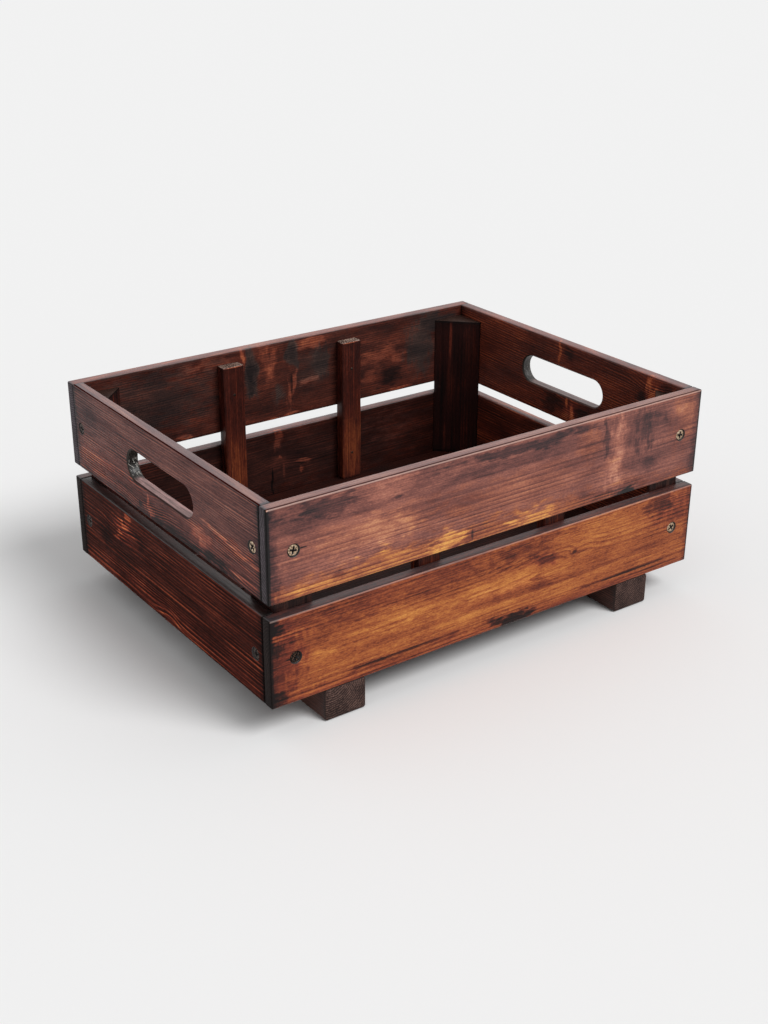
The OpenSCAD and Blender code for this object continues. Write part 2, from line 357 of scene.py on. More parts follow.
def scorched_wood(name, start, axes, size, paints, heat, rings, pith, marks=(), knots=(), lines=(), seed=0.0,
                  other_paints=(), zones=(), end_paints=(), end_grain=(0.16, 0.4), burnt=0.0, worn=0.0,
                  ends=0.45, edges=0.0, greyed=0.0, cloudy=0.30, streaky=0.22, gritty=0.10, flecked=0.08,
                  gloss=0.25, sheen=0.0):
    """Softwood, scorched with a torch and varnished, worked out in the piece's own measures in mm.

    axes are its directions along, up and inward from the corner start, and size its length, height
    and depth. heat runs from 0, golden, to 1, black, and paints are the colours on the way. rings is
    the width of a year ring, how strongly it shows and how far it wanders; pith is the middle of the
    tree as up, inward and the rise of up along the piece. marks are (along, up, inward, half length,
    half height, half depth, heat), knots the same with a push of the rings in mm instead, and zones
    the same with a share of other_paints. lines are (up, half height, heat).

    cloudy, streaky, gritty and flecked say how much the heat varies in clouds, along the fibres, in
    grains and in flecks. ends is the heat added at both ends. edges is the heat added on the narrow
    long faces, and it is painted light: added heat is painted shade on tops in the shadow of the row
    above, heat taken off is painted sheen on tops that catch the sky. greyed is how far those faces
    are painted grey, a painted reflection of the pale sky. burnt is how dark the line along the outer
    top arris is, and worn how pale its round is, partly rubbed and partly a painted
    highlight. end_paints are the colours of the end grain, and end_grain how strongly its rings and its
    saw marks show. gloss is the varnish's shine, and sheen what is added to it on faces that look up."""
    f = Finish(name)
    place = f.in_piece(start, axes)
    g, up, deep = f.parts(place)
    length, height, depth = size
    facing = f.coordinates.outputs["Normal"]
    lying = f.mottle(place, (13, 4.5, 4), 3.0, 0.6, seed + 11)[0]
    standing = f.mottle(place, (4.5, 13, 4), 3.0, 0.6, seed + 12)[0]
    sway = f.mottle(place, (30, 30, 30), 2.0, 0.5, seed + 14)[1]
    swayed = f.vector("MULTIPLY_ADD", sway, (24, 12, 0), f.vector("SUBTRACT", place, (12, 6, 0)))

    def spot(mark, edge, torn):
        """1 in the middle of a torn oval, 0 outside it."""
        mapping = f.add("ShaderNodeMapping", vector_type="TEXTURE")
        f.feed(mapping.inputs["Vector"], place if min(mark[3:5]) < 2 else swayed)
        mapping.inputs["Location"].default_value = mark[0:3]
        mapping.inputs["Scale"].default_value = mark[3:6]
        tear = f.more(lying if mark[3] > mark[4] else standing, torn, -torn / 2)
        return f.step(f.math("ADD", f.vector("LENGTH", mapping.outputs[0]), tear), 1.2, 1.2 - edge)

    def rim(value, span, wide, narrow):
        """1 at both ends of a span, 0 further in than wide."""
        off = f.math("ABSOLUTE", f.math("SUBTRACT", value, span / 2))
        return f.step(off, span / 2 - wide, span / 2 - narrow)

    # Year rings round the pith, pushed aside by the knots.
    ring_w, ring_heat, wander = rings
    push = f.mottle(place, (150, 34, 34), 2.0, 0.5, seed)[1]
    moved = f.vector("MULTIPLY_ADD", push, (0, 2 * wander, 2 * wander), place)
    moved_g, moved_up, moved_deep = f.parts(moved)
    tilted = f.more(moved_g, -pith[2], moved_up)
    from_pith_up = f.math("SUBTRACT", tilted, pith[0] + wander)
    from_pith_in = f.math("SUBTRACT", moved_deep, pith[1] + wander)
    across = f.joined(from_pith_up, from_pith_in, 0.0)
    radius = f.vector("LENGTH", across)
    for knot in knots:
        radius = f.more(spot(knot, 1.2, 0), knot[6], radius)
    uneven = f.mottle(across, (9, 9, 9), 1.0, 0.5, seed + 5)[0]
    spring_to_autumn = [(0.0, grey(0.10)), (0.30, grey(0.18)), (0.58, grey(0.45)), (0.76, grey(1.0)),
                        (0.93, grey(0.9)), (1.0, grey(0.10))]
    in_year = f.math("FRACT", f.more(uneven, 2.2, f.math("DIVIDE", radius, ring_w)))
    year = f.ramp(in_year, spring_to_autumn)
    strength = f.mottle(place, (60, 9, 9), 2.0, 0.5, seed + 21)[0]
    shows = f.step(strength, 0.34, 0.64, 0.2 * ring_heat, 1.4 * ring_heat)
    # Zones where the torch or the varnish left another set of colours, with stronger rings.
    other = 0.0
    for zone in zones:
        crisp = zone[6] > 0.9
        other = f.more(spot(zone, 0.5 if crisp else 0.9, 1.0 if crisp else 2.0), zone[6], other)
    if zones:
        other = f.math("MINIMUM", other, 1.0)
        shows = f.math("MULTIPLY", shows, f.more(other, 1.4, 1.0))
    # Heat: even, then uneven in fibres, grains, flecks and clouds, then the torch's own marks.
    fibre = f.mottle(place, (48, 0.95, 0.95), 3.0, 0.65, seed + 2)[0]
    grit = f.mottle(place, (1.9, 0.95, 0.95), 2.0, 0.6, seed + 3)[0]
    fleck = f.step(f.mottle(place, (5, 0.8, 0.8), 1.0, 0.5, seed + 13)[0], 0.54, 0.66)
    cloud = f.mottle(place, (46, 15, 12), 3.0, 0.55, seed + 7)[0]
    total = f.more(f.math("SUBTRACT", year, 0.42), shows, heat - streaky - gritty - cloudy)
    total = f.more(fibre, streaky * 2, total)
    total = f.more(grit, gritty * 2, total)
    total = f.more(fleck, flecked, total)
    total = f.more(cloud, cloudy * 2, total)
    for mark in marks:
        half = min(mark[3:5])
        total = f.more(spot(mark, 1.1 if half > 9 else 0.8, 2.8 if half > 2 else 1.4), mark[6], total)
    for at, half, amount in lines:
        off = f.math("ABSOLUTE", f.math("SUBTRACT", moved_up, at + wander))
        total = f.more(f.step(off, half * 1.5, half * 0.4), amount, total)
    # Ends, where the torch lingered, and narrow faces, where the heat added is painted light.
    off_top = f.math("SUBTRACT", height, up)
    lick = f.more(f.mottle(place, (9, 6, 6), 2.0, 0.6, seed + 31)[0], 14.0, f.math("SUBTRACT", g, 7.0))
    total = f.more(rim(lick, length, 9, -1.5), ends * 0.6, total)
    total = f.more(rim(g, length, 2.6, 0.8), ends, total)
    # Heat on the narrow long faces is painted light: added, it is painted shade on tops in the shadow of the
    # row above; taken off, it is painted sheen on tops that catch the sky.
    narrow = f.step(f.math("ABSOLUTE", f.vector("DOT_PRODUCT", facing, axes[1][:])), 0.6, 0.95)
    total = f.more(narrow, edges, total)
    # Colours for the heat, and over them along the edges the rubbed arris with its painted highlight, the
    # painted grey reflection of the sky on the narrow faces and the burnt line.
    colour = f.ramp(total, toned(paints))
    if zones:
        colour = f.blend(other, colour, f.ramp(total, toned(other_paints)))
    # The pale round of the outer top arris is partly rubbed wood and partly a painted highlight.
    if worn:
        on_arris = f.math("MULTIPLY", f.step(off_top, 1.5, 1.1), f.step(deep, 0.55, 0.35))
        colour = f.blend(f.math("MULTIPLY", on_arris, worn), colour, paint(214, 178, 164))
    # The grey on the narrow faces is a painted reflection of the pale sky.
    if greyed:
        colour = f.blend(f.math("MULTIPLY", narrow, greyed), colour, paint(98, 92, 98))
    shine = f.step(f.vector("DOT_PRODUCT", facing, Z[:]), 0.3, 0.95, gloss, gloss + sheen)
    if burnt:
        on_top = f.math("MULTIPLY", f.step(off_top, 1.0, 0.7), f.step(deep, 0.3, 0.5))
        line = f.math("MULTIPLY", f.math("MULTIPLY", on_top, f.step(deep, 2.0, 1.6)), burnt)
        colour = f.blend(line, colour, paint(54, 20, 16))
        shine = f.math("MULTIPLY", shine, f.more(line, -1.0, 1.0))
    # End grain, with its rings and the marks of the saw.
    on_end = f.step(f.math("ABSOLUTE", f.vector("DOT_PRODUCT", facing, axes[0][:])), 0.55, 0.85)
    if end_paints:
        sawn = f.mottle(place, (1.6, 1.0, 1.0), 3.0, 0.7, seed + 41)[0]
        ring_share, saw_share = end_grain
        shade = f.more(sawn, saw_share, 0.36 - saw_share / 2 - ring_share / 2)
        shade = f.more(year, ring_share, f.more(cloud, 0.4, shade))
        shade = f.more(f.step(deep, 3.4, 0.4), -burnt, shade)
        colour = f.blend(on_end, colour, f.ramp(shade, toned(zip((0.30, 0.55, 0.80), end_paints))))
    # Satin varnish, thin on the end grain of what lies and not of what stands.
    f.feed(f.shader.inputs["Base Color"], colour)
    f.feed(f.shader.inputs["Roughness"], f.step(f.more(cloud, 0.6, fibre), 0.5, 1.1, 0.35, 0.55))
    if abs(axes[0].z) < 0.5:
        shine = f.math("MULTIPLY", shine, f.more(on_end, -0.75, 1.0))
    f.feed(f.shader.inputs["Specular IOR Level"], shine)
    height_of_fibres = f.more(fibre, 0.55, f.math("MULTIPLY", grit, 0.35))
    f.relief(f.more(year, 0.55 * min(1.0, abs(ring_heat) * 4), height_of_fibres), 0.55, 0.35)
    return f.material


def soot(name):
    """Black crust that the torch leaves in holes."""
    f = Finish(name)
    in_mm = f.vector("MULTIPLY", f.coordinates.outputs["Object"], (1 / MM, 1 / MM, 1 / MM))
    crust = f.mottle(in_mm, (1.6, 1.6, 1.6), 4.0, 0.7, 1)[0]
    f.feed(f.shader.inputs["Base Color"], f.ramp(crust, toned([(0.3, (16, 13, 13)), (0.7, (44, 34, 32))])))
    f.feed(f.shader.inputs["Roughness"], f.step(crust, 0.35, 0.65, 0.62, 0.38))
    f.relief(crust, 0.7, 0.4)
    return f.material


hole_soot = soot("hole_soot")
POST_PAINTS = [(0.0, (176, 92, 60)), (0.3, (122, 56, 40)), (0.5, (76, 34, 27)), (0.7, (46, 22, 20)),
               (1.0, (20, 12, 12))]
POST_ENDS = ((26, 16, 13), (48, 32, 27), (84, 64, 57))
SLATE_PAINTS = [(0.0, (134, 108, 98)), (0.3, (92, 70, 63)), (0.5, (64, 50, 47)), (0.7, (42, 35, 35)),
                (1.0, (18, 16, 18))]
POST_BLUNT = 0.8
GAP_UP_POST = 64.4  # height of the gap between the rows, above a post's foot


def hand_in(piece, node):
    """Puts a piece in the place of its CAD node."""
    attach(piece, "root")
    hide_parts(node)


def corner_post(node, x_side, y_side, seed, heat):
    """Post in the corner on the given sides, slate grey where the gap between the boards lets light in."""
    axes = (Z, X * -x_side, Y * -y_side)
    start, size = laid_out(node, *axes)
    leg = size[1]
    outline = [(0, 0), (leg, 0), (leg, POST_BLUNT), (POST_BLUNT, leg), (0, leg)]
    piece = sanded_stick(node + "_timber", start, axes, size[0], outline, radius=0.25, step=2.5, seed=seed,
                         wear=0.2)
    piece.data.materials.append(scorched_wood(
        node + "_wood", start, axes, size, paints=POST_PAINTS, heat=heat, rings=(2.6, 0.12, 1.2),
        pith=(leg * 0.4, -22, 0.02), seed=seed, lines=[(19.5, 1.2, -0.10), (9, 2.4, -0.08), (25, 1.0, 0.1)],
        marks=[(GAP_UP_POST, leg / 2, 0, 9, leg, 4, -0.22), (112, 19.5, leg - 19.5, 26, 1.2, 5, -0.26),
               (18, 22.4, leg - 22.4, 24, 0.9, 5, -0.22), (18, 15.5, leg - 15.5, 18, 0.7, 5, -0.18),
               (90, 12, leg - 12, 30, 4, 5, 0.06)],
        other_paints=SLATE_PAINTS, zones=[(GAP_UP_POST, leg / 2, 0, 9, leg, 4, 0.8)], end_paints=POST_ENDS,
        ends=0.2, gloss=0.12))
    feet = [screw_hole(spot, Z, FLOOR_SCREW) for spot in post_screws
            if inside(spot + Z * FLOOR_SCREW * MM, node)]
    cut_away(piece, wall_screw_holes(node, WALL_SCREW - 1) + feet, hole_soot)
    hand_in(piece, node)


corner_post("front_left_post", -1, -1, 1, 0.76)
corner_post("front_right_post", 1, -1, 2, 0.76)
corner_post("back_left_post", -1, 1, 3, 0.70)
corner_post("back_right_post", 1, 1, 4, 0.75)


# Lower boards. Planed softwood boards on edge, butted at the corners and screwed to the posts. The
# front one was scorched lightly and stayed golden; the others are dark from the torch.
GOLD_PAINTS = [(0.0, (226, 166, 88)), (0.2, (194, 124, 62)), (0.38, (156, 84, 46)), (0.55, (110, 50, 32)),
               (0.75, (60, 29, 22)), (1.0, (20, 13, 12))]
RED_PAINTS = [(0.0, (206, 124, 78)), (0.2, (172, 88, 56)), (0.38, (134, 60, 40)), (0.55, (94, 40, 30)),
              (0.75, (52, 25, 21)), (1.0, (20, 12, 12))]
BROWN_PAINTS = [(0.0, (214, 116, 70)), (0.2, (150, 70, 46)), (0.4, (94, 41, 30)), (0.6, (54, 24, 19)),
                (0.8, (31, 15, 13)), (1.0, (14, 9, 9))]
FLAME_PAINTS = [(0.0, (238, 138, 88)), (0.15, (204, 100, 66)), (0.32, (156, 69, 50)), (0.5, (106, 46, 37)),
                (0.7, (60, 29, 26)), (1.0, (18, 12, 12))]
LOWER_ENDS = ((14, 9, 9), (30, 22, 21), (56, 46, 44))
EDGE_R, BOARD_WEAR = 1.0, 0.25
PIN_R, PIN_HEAD_R, PIN_ROOM, PIN_HEAD_T, PIN_L = 0.7, 1.2, 0.03, 0.8, 16.0


def pin_hole(head_top, drive):
    """Hole of one batten pin, with room for its flat head."""
    shank, head = PIN_R + PIN_ROOM, PIN_HEAD_R + PIN_ROOM
    profile = [(head, -1), (head, PIN_HEAD_T), (shank, PIN_HEAD_T + 0.01), (shank, PIN_L + PIN_ROOM)]
    return lathe(profile, 16, head_top, drive)


def pin_spots():
    """Head tops of the batten pins with the way each is driven, from the corners of their node's box."""
    low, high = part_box("batten_pins")
    spots = []
    for x in (low.x + PIN_HEAD_R * MM, high.x - PIN_HEAD_R * MM):
        for z in (low.z + PIN_HEAD_R * MM, high.z - PIN_HEAD_R * MM):
            spots.append((Vector((x, low.y + PIN_L * MM, z)), -Y))
            spots.append((Vector((x, high.y - PIN_L * MM, z)), Y))
    return spots


def wall_board(node, along, inward, material_slot, seed, slot_tones=(), ends_in=LOWER_ENDS, **finish):
    """One board of a wall, with its slot if it has slot_tones; inward runs from its outer face in.

    The front and the back run from left to right, the ends from the back to the front."""
    axes = (along, Z, inward)
    start, size = laid_out(node, *axes)
    length, height, depth = size
    outline = [(0, 0), (height, 0), (height, depth), (0, depth)]
    piece = sanded_stick(node + "_timber", start, axes, length, outline, radius=EDGE_R, step=2.2, seed=seed,
                         wear=BOARD_WEAR)
    wood = scorched_wood(node + "_wood", start, axes, size, seed=seed, end_paints=ends_in, **finish)
    piece.data.materials.append(wood)
    if slot_tones:
        lining = slot_lining(node + "_slot", start, axes, size, *slot_tones)
        cut_away(piece, [hand_slot(start, axes, size)], lining)
    pins = [pin_hole(spot, drive) for spot, drive in pin_spots()
            if inside(spot + drive * (PIN_L - 1) * MM, node)]
    cut_away(piece, wall_screw_holes(node, 1) + pins, hole_soot)
    hand_in(piece, node)


# The golden board: a brown knot right of its middle and a burn on its lower edge.
# Its edges heat is painted shade on its top face, which lies in the shadow of the board above.
wall_board("front_lower_board", X, Y, "front_boards", 11, paints=GOLD_PAINTS, heat=0.385,
           rings=(2.1, 0.12, 0.8), pith=(25, -24, 0.008), cloudy=0.20, streaky=0.20, gritty=0.16,
           flecked=0.10, burnt=0.2, worn=0.22, ends=0.3, edges=0.30, greyed=0.2, gloss=0.14, sheen=0.5,
           other_paints=RED_PAINTS,
           zones=[(6, 34, 0, 24, 44, 6, 0.9), (200, -1, 0, 420, 10, 6, 0.7), (385, 54, 0, 36, 16, 6, 0.8),
                  (110, 64, 0, 150, 14, 6, 0.45), (243, 45, 0, 16, 7, 6, 0.8),
                  (205, 29, 0, 60, 6, 6, 0.35)],
           marks=[(105, 62, 0, 140, 18, 5, 0.13), (215, 58, 0, 44, 12, 5, 0.11),
                  (180, 36, 0, 130, 7, 5, -0.10), (150, 25, 0, 140, 12, 5, -0.07),
                  (243, 45, 0, 11, 4.5, 5, 0.20), (275, 43, 0, 4, 2, 4, 0.36),
                  (280, 42, 0, 9, 1.2, 4, 0.15), (366, 58, 0, 17, 8, 5, 0.20),
                  (386, 50, 0, 20, 22, 5, 0.12), (165, 32, 0, 8, 5, 4, 0.14), (198, 27, 0, 6, 3, 4, 0.10),
                  (240, 25, 0, 11, 4, 4, 0.12), (110, 9.6, 0, 58, 1.4, 5, 0.30),
                  (88, 8, 0, 26, 2.4, 5, 0.14), (338, 8.8, 0, 52, 1.2, 5, 0.36),
                  (362, 5, 0, 34, 0.9, 5, 0.18), (213, 5.5, 0, 22, 5.5, 6, 0.50),
                  (2, 62, 0, 9, 8, 6, 0.50), (0, 46, 0, 6, 7, 6, 0.30), (3, 6, 0, 13, 8, 6, 0.35),
                  (8, 34, 0, 15, 44, 5, 0.12), (300, 55, 0, 40, 12, 5, -0.05),
                  (16, 35, 0, 4, 0.6, 3, 0.4)],
           knots=[(275, 43, 0, 14, 9, 8, 2.0), (250, 48, 0, 60, 22, 8, -5.0)],
           lines=[(10.2, 0.6, 0.12), (3, 6, 0.06)])

# Dark and ringed, with a bright streak beside a knot near its back end.
wall_board("left_lower_board", -Y, X, "end_boards", 12, paints=BROWN_PAINTS, heat=0.565,
           rings=(3.2, -0.32, 0.7), pith=(-70, 6, 0.004), cloudy=0.22, streaky=0.26, gritty=0.12,
           burnt=0.1, ends=0.3, edges=0.1, gloss=0.01, sheen=0.7, other_paints=FLAME_PAINTS,
           zones=[(74, 51, 0, 22, 15, 6, 0.8), (200, 8, 0, 260, 12, 6, 0.3)],
           marks=[(86, 63, 0, 5, 4, 5, -0.30), (78, 55, 0, 7, 4, 5, -0.27), (69, 47, 0, 8, 3.2, 5, -0.27),
                  (61, 40, 0, 5, 2.4, 5, -0.24), (79, 58, 0, 3, 2, 5, 0.4), (70, 49, 0, 3, 1.5, 5, 0.3),
                  (45, 34, 0, 13, 12, 6, 0.20), (100, 52, 0, 15, 6, 6, 0.16),
                  (76, 29, 0, 18, 11, 6, 0.12), (205, 40.6, 0, 100, 1.0, 5, -0.20),
                  (120, 11, 0, 60, 1.2, 5, -0.16), (230, 22, 0, 60, 1.0, 5, -0.14)],
           knots=[(66, 50, 0, 30, 18, 8, 3.5), (145, 6, 0, 24, 14, 8, -3.5)],
           lines=[(26, 0.8, -0.12), (4.5, 0.9, -0.18)])

# Nearly black inside the crate, with a pale knot and a crack below it.
wall_board("back_lower_board", X, Y, "back_boards", 13, paints=BROWN_PAINTS, heat=0.63,
           rings=(2.3, 0.14, 0.8), pith=(90, 12, 0.02), cloudy=0.30, streaky=0.20, gritty=0.12, ends=0.2,
           edges=-0.3, greyed=0.3, gloss=0.08, sheen=0.9, other_paints=SLATE_PAINTS,
           zones=[(130, 40, 0, 260, 40, 12, 0.30)],
           marks=[(187, 60, 0, 4, 12, 5, -0.24), (187, 42, 0, 2.2, 2.6, 5, -0.34),
                  (187, 36, 0, 10, 7, 5, -0.12), (214, 35, 0, 9, 2.4, 5, -0.32),
                  (209, 28, 0, 2.5, 3, 5, -0.28), (181, 27, 0, 0.9, 7, 6, 0.5),
                  (179.8, 17, 0, 1.0, 7, 6, 0.5), (181.2, 7, 0, 1.1, 6, 6, 0.5),
                  (193, 29, 0, 1.5, 8, 6, -0.16), (310, 46, 0, 24, 16, 5, -0.12)],
           knots=[(187, 40, 0, 26, 16, 8, 3.5)])

# Dark and even. Only its inner face shows.
wall_board("right_lower_board", -Y, X, "end_boards", 14, paints=BROWN_PAINTS, heat=0.44,
           rings=(2.4, -0.32, 0.6), pith=(-60, 4, -0.01), cloudy=0.34, streaky=0.24, gritty=0.12,
           ends=0.3, edges=-0.12, greyed=0.35, gloss=0.18, sheen=0.9)

# Upper boards. The same stock, scorched harder, with a hand slot through each end board. The slots
# were routed, rounded over on both faces and left black at their ends by the torch.
# Mauve, partly the torch's colour and partly a painted reflection of the pale surroundings.
MAUVE_AND_SHEEN_PAINTS = [(0.0, (220, 166, 136)), (0.14, (194, 134, 108)), (0.30, (158, 98, 82)), (0.46, (118, 70, 62)),
                (0.62, (82, 48, 46)), (0.8, (46, 31, 33)), (1.0, (16, 13, 14))]
STRIPE_PAINTS = [(0.0, (228, 168, 86)), (0.16, (198, 130, 70)), (0.32, (160, 91, 56)), (0.48, (118, 58, 42)),
                 (0.66, (74, 36, 30)), (0.82, (42, 24, 23)), (1.0, (16, 12, 12))]
BOARD_ENDS = ((18, 14, 15), (63, 56, 60), (114, 104, 111))
SLOT_L, SLOT_H, SLOT_UP, SLOT_BEVEL, SLOT_STEPS = 101.4, 24.3, 35.3, 1.1, 20


def hand_slot(start, axes, size):
    """Cutter for a slot with round ends and bevelled rims, in the middle of a board."""
    along, up, inward = axes
    length, height, depth = size
    rows = [(-0.9, 2.0), (0.0, SLOT_BEVEL), (SLOT_BEVEL, 0.0)]
    rows = rows + [(depth - d, out) for d, out in reversed(rows)]
    verts = []
    for d, out in rows:
        r = SLOT_H / 2 + out
        for side in (1, -1):
            for k in range(SLOT_STEPS + 1):
                angle = math.pi * (k / SLOT_STEPS - 0.5)
                g = length / 2 + side * ((SLOT_L - SLOT_H) / 2 + r * math.cos(angle))
                v = SLOT_UP + side * r * math.sin(angle)
                verts.append((start + MM * (g * along + v * up + d * inward))[:])
    ring = 2 * (SLOT_STEPS + 1)
    last = (len(rows) - 1) * ring
    faces = [(r + k, r + (k + 1) % ring, r + ring + (k + 1) % ring, r + ring + k)
             for r in range(0, last, ring) for k in range(ring)]
    return verts, faces + [tuple(range(ring)), tuple(range(last, last + ring))]


def slot_lining(name, start, axes, size, rim_tone, sill_tone, flakes_and_glints):
    """Walls of a slot: pale along the sill, partly varnish and partly a painted reflection of the sky, and
    crusty char at the back end with pale flecks, partly chips and partly painted glints.

    rim_tone is the colour of the bevels, a painted highlight where it is pale, sill_tone that of the sill and
    flakes_and_glints the share of the pale flecks."""
    f = Finish(name)
    place = f.in_piece(start, axes)
    g, up, deep = f.parts(place)
    grain = f.mottle(place, (26, 1.1, 1.1), 3.0, 0.65, 5)[0]
    crust = f.mottle(place, (3.2, 2.4, 2.0), 2.0, 0.5, 6)[0]
    shades = [(0.34 + 0.16 * k, 0.66 + 0.34 * k) for k in range(3)]
    # The sill tone is partly varnish and partly a painted reflection of the sky.
    sill = f.ramp(grain, toned([(at, [v * share for v in sill_tone]) for at, share in shades]))
    # The pale stops of the char are chips with painted glints on them.
    char = f.ramp(crust, toned([(0.30, (40, 37, 34)), (0.50, (18, 17, 16)), (0.555, (24, 22, 21)),
                                (0.575, (206, 202, 194)), (0.60, (190, 186, 178)), (0.62, (34, 32, 30)),
                                (0.75, (70, 66, 62))]))
    dust = f.mottle(place, (2, 1, 1), 3.0, 0.7, 8)[0]
    plain_char = f.ramp(dust, toned([(0.35, (22, 20, 19)), (0.7, (74, 69, 65))]))
    # Where the pale flecks show, as chips with painted glints: a band below the middle of the slot.
    below_top = f.step(up, SLOT_UP + 3, SLOT_UP - 1, 0.0, flakes_and_glints)
    flaked_and_glinting = f.math("MULTIPLY", below_top, f.step(up, SLOT_UP - 12, SLOT_UP - 9))
    back_end = (size[0] - SLOT_L) / 2
    charred = f.step(f.more(crust, 6.0, g), back_end + 14.5, back_end + 9.5)
    off = f.math("ABSOLUTE", f.math("SUBTRACT", deep, size[2] / 2))
    bevel = f.step(off, size[2] / 2 - SLOT_BEVEL - 0.15, size[2] / 2 - SLOT_BEVEL + 0.25)
    wall = f.blend(charred, sill, f.blend(flaked_and_glinting, plain_char, char))
    rim = f.blend(charred, paint(*rim_tone), paint(60, 54, 50))
    f.feed(f.shader.inputs["Base Color"], f.blend(bevel, wall, rim))
    f.shader.inputs["Roughness"].default_value = 0.40
    f.feed(f.shader.inputs["Specular IOR Level"], f.more(bevel, -0.35, 0.45))
    f.relief(f.more(f.math("MULTIPLY", crust, charred), 1.4, f.math("MULTIPLY", grain, 0.3)), 0.7, 0.4)
    return f.material


# Mauve, partly from the torch and partly a painted reflection of the pale surroundings, with a golden lower
# edge and licks of flame at its right.
wall_board("front_upper_board", X, Y, "front_boards", 21, ends_in=BOARD_ENDS, paints=MAUVE_AND_SHEEN_PAINTS,
           heat=0.44, rings=(2.3, 0.10, 0.8), pith=(52, -26, 0.006), cloudy=0.26, streaky=0.20,
           gritty=0.17, flecked=0.02, burnt=0.85, worn=0.42, ends=0.35, edges=-0.12, greyed=0.3,
           gloss=0.26, sheen=0.75, other_paints=STRIPE_PAINTS,
           zones=[(125, -10, 0, 330, 24, 8, 1.0), (215, 30, 0, 100, 20, 8, 0.35),
                  (384, 50, 0, 22, 34, 8, 0.45), (100, 34, 0, 90, 16, 8, 0.3),
                  (280, 52, 0, 16, 16, 8, 0.5)],
           marks=[(125, -10, 0, 330, 23, 8, -0.08), (46, 61, 0, 30, 9, 5, 0.22),
                  (20, 52, 0, 30, 14, 5, 0.10), (102, 60, 0, 26, 8, 5, -0.12),
                  (105, 53, 0, 5, 1.5, 5, 0.26), (224, 64, 0, 74, 4.6, 5, 0.26),
                  (222, 54, 0, 84, 7, 5, 0.10), (75, 32, 0, 62, 15, 5, -0.13),
                  (98, 30, 0, 32, 11, 5, -0.08), (152, 6, 0, 18, 9, 6, -0.26),
                  (226, 5, 0, 20, 8, 6, -0.20), (80, 4, 0, 78, 8, 6, -0.10), (57, 9, 0, 6, 4, 5, 0.16),
                  (171, 6, 0, 1.2, 5, 5, 0.26), (312, 40, 0, 12, 36, 5, -0.20),
                  (307, 22, 0, 14, 12, 5, -0.12), (315, 62, 0, 5, 8, 5, -0.06),
                  (297, 53, 0, 3, 17, 5, 0.18), (334, 52, 0, 12, 24, 5, 0.18),
                  (345, 52, 0, 15, 20, 5, 0.12), (358, 52, 0, 15, 12, 5, 0.12),
                  (345, 21, 0, 13, 10, 5, 0.14), (384, 38, 0, 14, 14, 5, -0.02),
                  (375, 60, 0, 9, 7, 5, -0.08), (326, 1.5, 0, 9, 4, 6, 0.60), (318, 3, 0, 34, 6, 6, 0.16),
                  (397, 40, 0, 6, 44, 6, 0.06), (283, 7, 0, 8, 5, 5, 0.12), (27, 36.4, 0, 4, 0.6, 3, 0.5),
                  # The last mark, a pale dot on the front top corner, is a chipped corner with a painted
                  # highlight on it.
                  (1, 40, 0, 5, 44, 6, 0.12), (0.6, 69.4, 0.5, 1.1, 1.1, 1.2, -1.2)],
           knots=[(107, 53, 0, 14, 9, 8, 2.0)])

# Grey mauve, partly a painted reflection of the pale surroundings, with a knot below the slot and a bright
# streak in front of it.
wall_board("left_upper_board", -Y, X, "end_boards", 22, slot_tones=((48, 20, 16), (142, 111, 108), 1.0),
           ends_in=BOARD_ENDS, paints=MAUVE_AND_SHEEN_PAINTS, heat=0.56, rings=(2.2, -0.24, 1.3),
           pith=(-62, 8, 0.012), cloudy=0.20, streaky=0.24, gritty=0.12, burnt=1.0, ends=0.35,
           edges=-0.13, greyed=0.4, gloss=0.09, sheen=0.8, other_paints=FLAME_PAINTS,
           zones=[(150, 4, 0, 420, 24, 8, 0.6), (60, 22, 0, 80, 20, 8, 0.35),
                  (245, 26, 0, 46, 6, 8, 0.5)],
           # The second mark, a slight lightening along the upper part, is painted sheen.
           marks=[(22, 55, 0, 34, 24, 6, 0.14), (160, 58, 0, 160, 16, 6, -0.05),
                  (124, 10, 0, 4, 9, 5, -0.30), (131, 7, 0, 4, 6, 5, -0.24), (113, 7, 0, 4, 4, 5, 0.30),
                  (202, 15, 0, 14, 8, 5, -0.20), (205, 9, 0, 5, 5, 5, -0.16), (217, 4, 0, 24, 4, 5, 0.26),
                  (262, 6.5, 0, 26, 1.6, 5, -0.26), (38, 7, 0, 26, 1.8, 5, -0.20),
                  (34, 20, 0, 28, 1.5, 5, -0.12), (210, 30.6, 0, 10, 1.3, 5, -0.26),
                  (222, 29.2, 0, 10, 1.4, 5, -0.28), (234, 27.6, 0, 10, 1.4, 5, -0.30),
                  (246, 25.6, 0, 10, 1.3, 5, -0.28), (258, 23.8, 0, 12, 1.3, 5, -0.28),
                  (277, 22.4, 0, 17, 1.3, 5, -0.28), (140, 2, 0, 90, 4, 5, 0.12),
                  (150, 2, 0, 220, 14, 6, 0.15)],
           knots=[(116, 10, 0, 34, 16, 8, 3.5), (190, 15, 0, 84, 36, 8, -6.0)])

